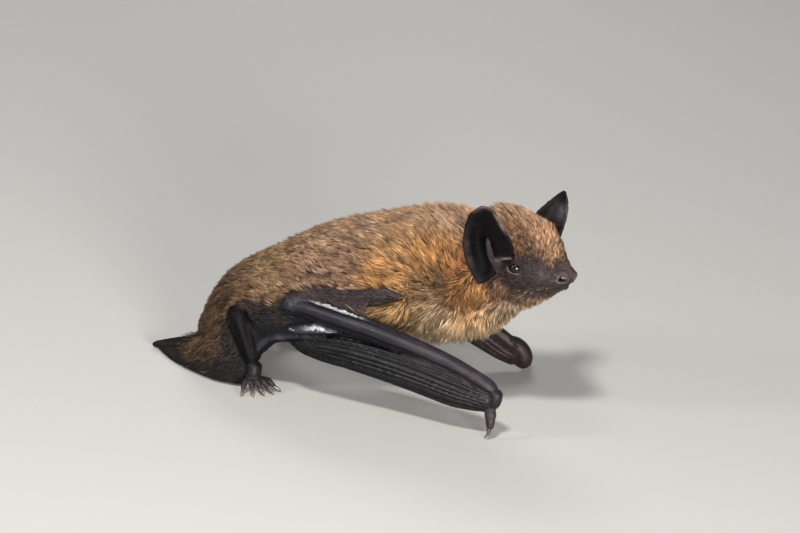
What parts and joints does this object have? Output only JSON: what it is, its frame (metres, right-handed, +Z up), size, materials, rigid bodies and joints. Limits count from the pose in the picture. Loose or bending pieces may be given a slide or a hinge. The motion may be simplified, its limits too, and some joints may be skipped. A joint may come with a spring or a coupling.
{
  "type": "small bat",
  "caption": "Small vesper bat at rest on all fours, wings folded, forebody raised on its wrists, head turned to its right and tail membrane laid on the floor.",
  "frame": {"origin": "middle of the bounding box's underside, on the floor under the belly", "axes": "+X towards the head end along the body, +Y to the animal's left, +Z up"},
  "size_m": [0.0574, 0.0312, 0.0299],
  "materials": {
    "fur": "short dense golden-brown coat with pale hair tips",
    "bare_skin": "near-black bare skin with a soft bluish gloss",
    "ear_skin": "near-black bare ear skin, satin",
    "eye": "wet black",
    "claw": "horn, satin"
  },
  "bodies": {
    "root": {"head": "fur", "lower_jaw": "fur", "neck": "fur", "trunk": "fur", "tail": "bare_skin", "ear_right": "ear_skin", "eye_right": "eye", "upper_arm_right": "bare_skin", "wrist_right": "bare_skin", "forearm_right": "bare_skin", "folded_hand_wing_right": "bare_skin", "thumb_right": "bare_skin", "shin_right": "bare_skin", "foot_right": "bare_skin", "tail_membrane_right": "bare_skin", "flank_membrane_right": "bare_skin", "shoulder_membrane_right": "bare_skin", "thigh_right": "fur", "thumb_claw_right": "claw", "toe_claw_right_1": "claw", "toe_claw_right_2": "claw", "toe_claw_right_3": "claw", "toe_claw_right_4": "claw", "toe_claw_right_5": "claw", "ear_left": "ear_skin", "eye_left": "eye", "upper_arm_left": "bare_skin", "wrist_left": "bare_skin", "forearm_left": "bare_skin", "folded_hand_wing_left": "bare_skin", "thumb_left": "bare_skin", "shin_left": "bare_skin", "foot_left": "bare_skin", "tail_membrane_left": "bare_skin", "flank_membrane_left": "bare_skin", "shoulder_membrane_left": "bare_skin", "thigh_left": "fur", "thumb_claw_left": "claw", "toe_claw_left_1": "claw", "toe_claw_left_2": "claw", "toe_claw_left_3": "claw", "toe_claw_left_4": "claw", "toe_claw_left_5": "claw"}
  },
  "joints": []
}
